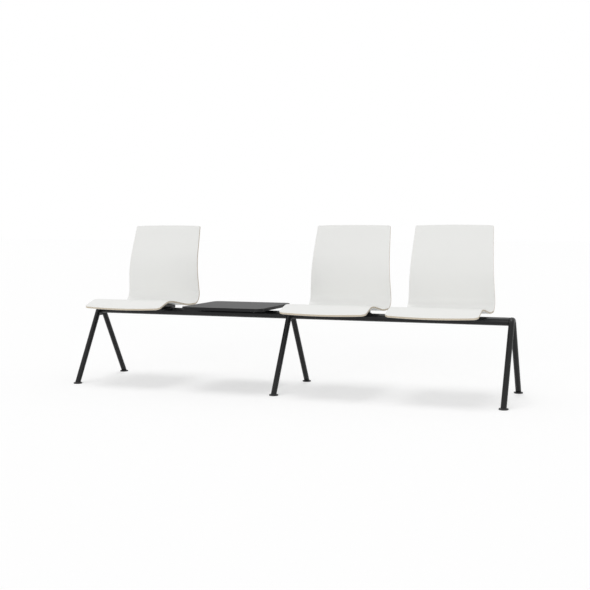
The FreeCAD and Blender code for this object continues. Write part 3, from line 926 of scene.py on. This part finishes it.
def angle_ring(x, inner_side, y, from_end):
    """Section of the angle at one place: a rib under the flange, with a fillet weld in the corner."""
    inset = rounding(from_end, bracket_edge_round)
    top = underside(y, shell_thickness) - inset
    bottom = underside(y, shell_thickness + flange_thickness) + inset
    foot = rib_bottom_z + rounding(from_end, rib_corner_radius) + inset
    in_saddle = beam_radius + saddle_thickness - saddle_bite
    if abs(y) < in_saddle:
        foot = max(foot, beam_z + math.sqrt(in_saddle ** 2 - y ** 2))
    start = x - inner_side * rib_thickness / 2
    plan = [
        (inset, foot, bracket_edge_round),
        (inset, top, bracket_edge_round),
        (flange_width - inset, top, bracket_edge_round),
        (flange_width - inset, bottom, bracket_edge_round),
        (rib_thickness - inset, bottom, flange_weld),
        (rib_thickness - inset, foot, bracket_edge_round),
    ]
    corners = [(Vector((start + inner_side * off, beam_y + y, z)), reach) for off, z, reach in plan]
    return eased(corners[::inner_side])


def saddle_ring(x, degrees, from_end):
    """Section of a saddle at one angle round the beam, narrower at the rounded corners."""
    inset = rounding(from_end, bracket_edge_round)
    half = saddle_length / 2 - rounding(from_end, saddle_corner_radius) - inset
    inner = beam_radius + inset
    outer = beam_radius + saddle_thickness - inset
    corners = []
    for side, radius in ((-1, inner), (-1, outer), (1, outer), (1, inner)):
        corners.append((around_beam(x + side * half, radius, degrees)[0], bracket_edge_round))
    return eased(corners)


def cut_key_hole(piece, x):
    """Drills a piece upright over the beam's axis, where a key reaches the head of a screw below."""
    bore = [(key_hole_radius, beam_z), (key_hole_radius, beam_z + drill_height)]
    rings = turned(bore, x, beam_y, drill_sides)
    drill = new_piece("drill", *skin(rings), powder_coat)
    hole = piece.modifiers.new("hole", "BOOLEAN")
    hole.operation = "DIFFERENCE"
    hole.solver = "EXACT"
    hole.object = drill
    drilled = bpy.data.meshes.new_from_object(piece.evaluated_get(bpy.context.evaluated_depsgraph_get()))
    piece.modifiers.clear()
    piece.data = drilled
    drilled.set_sharp_from_angle(angle=math.radians(edge_sharp_angle))
    bpy.data.objects.remove(drill)


def build_saddle(name, x):
    """A saddle, made of plate bent round the top of the beam."""
    arc = math.radians(2 * saddle_half_angle) * beam_radius
    rings = []
    for station in end_stations(arc, saddle_corner_radius, saddle_station_step):
        degrees = math.degrees(station / beam_radius) - saddle_half_angle
        rings.append(saddle_ring(x, degrees, min(station, arc - station)))
    saddle = new_piece(name + "_saddle", *skin(rings), powder_coat)
    stand_in(saddle, "bench", name)


def rib_weld_line(x, face):
    """Line round the top of a saddle where one face of a rib stands on it."""
    count = round(math.radians(2 * saddle_half_angle) * beam_radius / bead_step)
    bead_x = x + face * (rib_thickness / 2 + bracket_bead_off_rib)
    line = []
    for number in range(count + 1):
        degrees = (saddle_half_angle - bracket_bead_end_degrees) * (2 * number / count - 1)
        line.append((around_beam(bead_x, beam_radius + saddle_thickness, degrees)[0], lengthwise))
    return line


bracket_length = bracket_rear_y - bracket_front_y
saddle_xs = []
for seat in seat_names:
    for side_name, inner_side in (("left", 1), ("right", -1)):
        name = seat + "_" + side_name + "_bracket"
        low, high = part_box(name)
        x = (low.x if inner_side > 0 else high.x) + inner_side * saddle_length / 2
        saddle_xs.append(x)
        rings = []
        for station in end_stations(bracket_length, rib_corner_radius, rib_station_step):
            from_end = min(station, bracket_length - station)
            rings.append(angle_ring(x, inner_side, bracket_front_y + station, from_end))
        angle = new_piece(name + "_angle", *skin(rings), powder_coat)
        cut_key_hole(angle, x + inner_side * screw_offset)
        stand_in(angle, "bench", name)
        build_saddle(name, x)
        for face, face_name in ((-1, "left"), (1, "right")):
            lay_bead(name + "_weld_" + face_name, rib_weld_line(x, face), bracket_bead_radius)


# Bracket and seat screws
# Black oxide steel screws with hexagon sockets. Low round heads pull each saddle down on the rivet nuts in
# the beam, and button heads under the flanges go up into the inserts in the shells.
black_oxide, place = new_finish("black_oxide")
stain = cloud(place, 300.0, 3.0)
dress(black_oxide, {
    "Base Color": stain.between((0.020, 0.020, 0.021, 1), (0.032, 0.031, 0.030, 1)),
    "Metallic": 0.6,
    "Roughness": 0.34 + 0.14 * stain,
})
screw_sides = 36
screw_sharp_angle = 30.0
screw_tip_inset = 0.0006
screw_tip_length = 0.0008
socket_draft = 0.0003
socket_depth = 0.0022


def driven_screw(bearing, outward, head, shank, socket):
    """Rings of a screw from its tip to the floor of its socket.

    The head is a profile of radius and height above the bearing, the shank a radius and a length, and
    the socket a function that gives its radius for a direction in turns, with its depth.
    """
    shank_radius, shank_length = shank
    socket_radius, depth = socket
    head_top = head[-1][1]
    profile = [(shank_radius - screw_tip_inset, -shank_length),
               (shank_radius, -shank_length + screw_tip_length), (shank_radius, 0)]
    profile += head
    profile.append((lambda turn: socket_radius(turn) + socket_draft, head_top))
    profile += [(socket_radius, head_top - socket_draft), (socket_radius, head_top - depth)]
    return [round_section(bearing + outward * height, outward, radius, screw_sides)
            for radius, height in profile]


def drive_screws(node, material, bearings, head, shank, socket):
    """One screw at each bearing, which is the point under its head and the direction its head faces."""
    for number, (bearing, outward) in enumerate(bearings):
        rings = driven_screw(bearing, outward, head, shank, socket)
        screw = new_piece(node + "_" + str(number + 1), *skin(rings), material, screw_sharp_angle)
        stand_in(screw, "bench", node)


def hexagon(across_flats, turn):
    """Distance from the middle of a hexagon to its side, in a direction given in turns."""
    return across_flats / 2 / math.cos(math.radians((turn * 360 + 30) % 60 - 30))


low_head = [(0.0070, 0.0), (0.0070, 0.0033), (0.0067, 0.0038), (0.0063, 0.0040)]
low_head_shank = (0.004, 0.019)
low_head_key = 0.005
table_brackets = ("table_left_bracket", "table_right_bracket")
saddle_xs += [middle(name)[0] for name in table_brackets]
bearings = [(Vector((x + side * screw_offset, beam_y, saddle_seat_z)), upright)
            for x in saddle_xs for side in (-1, 1)]
drive_screws("bracket_screws", black_oxide, bearings, low_head, low_head_shank,
             (lambda turn: hexagon(low_head_key, turn), socket_depth))

button_head = [(0.0055, 0.0), (0.0055, 0.0006), (0.0051, 0.0016), (0.0043, 0.0025), (0.0034, 0.0031),
               (0.0030, 0.0033)]
button_head_shank = (0.003, 0.010)
button_head_key = 0.004
flange_screw_places = (-0.080, 0.068)
slope_reach = 0.002
flange_depth = shell_thickness + flange_thickness
for number, seat in enumerate(seat_names):
    bearings = []
    for x in (saddle_xs[2 * number] + screw_offset, saddle_xs[2 * number + 1] - screw_offset):
        for y in flange_screw_places:
            point = Vector((x, beam_y + y, underside(y, flange_depth)))
            ahead = Vector((0, slope_reach, underside(y + slope_reach, flange_depth) - point.z))
            bearings.append((point, ahead.cross(lengthwise).normalized()))
    drive_screws(seat + "_screws", black_oxide, bearings, button_head, button_head_shank,
                 (lambda turn: hexagon(button_head_key, turn), socket_depth))


# Table
# A 16 mm board with a hard fine-textured black laminate on top, rounded at its corners, and a black
# plastic edge band glued round it and trimmed with a small round.
table_edge_round = 0.0008
table_corner_radius = 0.040
band_thickness = 0.001
edge_round_steps = 4
corner_steps = 14

black_board, place = new_finish("black_board")
stipple = cloud(place, 700.0)
haze = cloud(place, 9.0, 3.0)
dress(black_board, {
    "Base Color": haze.between((0.024, 0.0245, 0.0255, 1), (0.030, 0.0305, 0.0315, 1)),
    "Roughness": 0.50 + 0.08 * stipple + 0.05 * haze,
    "Specular IOR Level": 0.31,
    "Normal": relief(stipple, 0.00005),
})
black_band, place = new_finish("black_edge_band")
drawn = cloud(place, 400.0)
dress(black_band, {
    "Base Color": drawn.between((0.010, 0.010, 0.011, 1), (0.014, 0.014, 0.015, 1)),
    "Roughness": 0.42 + 0.10 * drawn,
    "Specular IOR Level": 0.16,
    "Normal": relief(drawn, 0.00003),
})


def board_outline(low, high, inset, z):
    """A ring of points round a board with rounded corners, stood back by an inset."""
    radius = table_corner_radius - inset
    ring = []
    for quarter, (x, y) in enumerate(((high.x, high.y), (low.x, high.y), (low.x, low.y), (high.x, low.y))):
        x += -table_corner_radius if x == high.x else table_corner_radius
        y += -table_corner_radius if y == high.y else table_corner_radius
        for step in range(corner_steps + 1):
            turn = math.pi / 2 * (quarter + step / corner_steps)
            ring.append(Vector((x + radius * math.cos(turn), y + radius * math.sin(turn), z)))
    return ring


low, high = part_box("table_edge_band")
rings = [board_outline(low, high, band_thickness, z) for z in (low.z, high.z)]
board = new_piece("table_top_board", *skin(rings), black_board)
stand_in(board, "bench", "table_board")

edge_curve = []
for step in range(edge_round_steps + 1):
    turn = math.pi / 2 * step / edge_round_steps
    edge_curve.append((table_edge_round * (1 - math.sin(turn)), table_edge_round * (1 - math.cos(turn))))
band_section = [(band_thickness, low.z)]
band_section += [(inset, low.z + rise) for inset, rise in edge_curve]
band_section += [(inset, high.z - rise) for inset, rise in reversed(edge_curve)]
band_section.append((band_thickness, high.z))
rings = [board_outline(low, high, inset, z) for inset, z in band_section]
band = new_piece("table_band", *skin(rings, loop=True), black_band)
stand_in(band, "bench", "table_edge_band")


# Table brackets
# A flat steel plate with rounded corners lies across each saddle and is welded to it front and rear, and
# both are powder coated. Four zinc-plated pan head screws go up through each plate into the board.
plate_half_width = 0.025
plate_corner_radius = 0.008
plate_corner_steps = 8
plate_edge_round = 0.0007
plate_edge_curve = ((1.0, 0.0), (0.3, 0.3), (0.0, 1.0))
plate_bead_z = 0.4289
plate_bead_y = 0.0081
plate_bead_length = 0.046
plate_bead_steps = 83
plate_screw_inset = 0.014
pan_head = [(0.00425, 0.0), (0.00425, 0.0006), (0.0040, 0.0014), (0.0034, 0.0020), (0.0026, 0.0023),
            (0.0022, 0.0024)]
pan_head_shank = (0.00225, 0.014)
recess_radius = 0.0007
recess_wing = 0.0011
recess_depth = 0.0014


def plate_ring(low, high, inset, z):
    """A ring of points round a plate with rounded corners, stood back by an inset."""
    corners = []
    for x, y in ((low.x + inset, low.y + inset), (high.x - inset, low.y + inset),
                 (high.x - inset, high.y - inset), (low.x + inset, high.y - inset)):
        corners.append((Vector((x, y, z)), plate_corner_radius - inset))
    return eased(corners, plate_corner_steps)


def cross_recess(turn):
    """Radius of a cross recess, in a direction given in turns."""
    return recess_radius + recess_wing * math.cos(4 * math.pi * turn) ** 4


bearings = []
for name in table_brackets:
    x = middle(name)[0]
    low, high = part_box(name)
    low = Vector((x - plate_half_width, low.y, saddle_seat_z))
    high = Vector((x + plate_half_width, high.y, high.z))
    curve = [(inset * plate_edge_round, rise * plate_edge_round) for inset, rise in plate_edge_curve]
    levels = [(inset, low.z + rise) for inset, rise in curve]
    levels += [(inset, high.z - rise) for inset, rise in reversed(curve)]
    rings = [plate_ring(low, high, inset, z) for inset, z in levels]
    plate = new_piece(name + "_plate", *skin(rings), powder_coat)
    for side in (-1, 1):
        cut_key_hole(plate, x + side * screw_offset)
    stand_in(plate, "bench", name)
    build_saddle(name, x)
    for side, side_name in ((-1, "front"), (1, "rear")):
        line = []
        for number in range(plate_bead_steps + 1):
            bead_x = x + plate_bead_length * (number / plate_bead_steps - 0.5)
            line.append((Vector((bead_x, beam_y + side * plate_bead_y, plate_bead_z)), upright))
        lay_bead(name + "_weld_" + side_name, line, bracket_bead_radius)
    for side in (-1, 1):
        for y in (low.y + plate_screw_inset, high.y - plate_screw_inset):
            screw_x = x + side * (plate_half_width - plate_screw_inset)
            bearings.append((Vector((screw_x, y, low.z)), -upright))
drive_screws("table_screws", zinc, bearings, pan_head, pan_head_shank,
             (cross_recess, recess_depth))
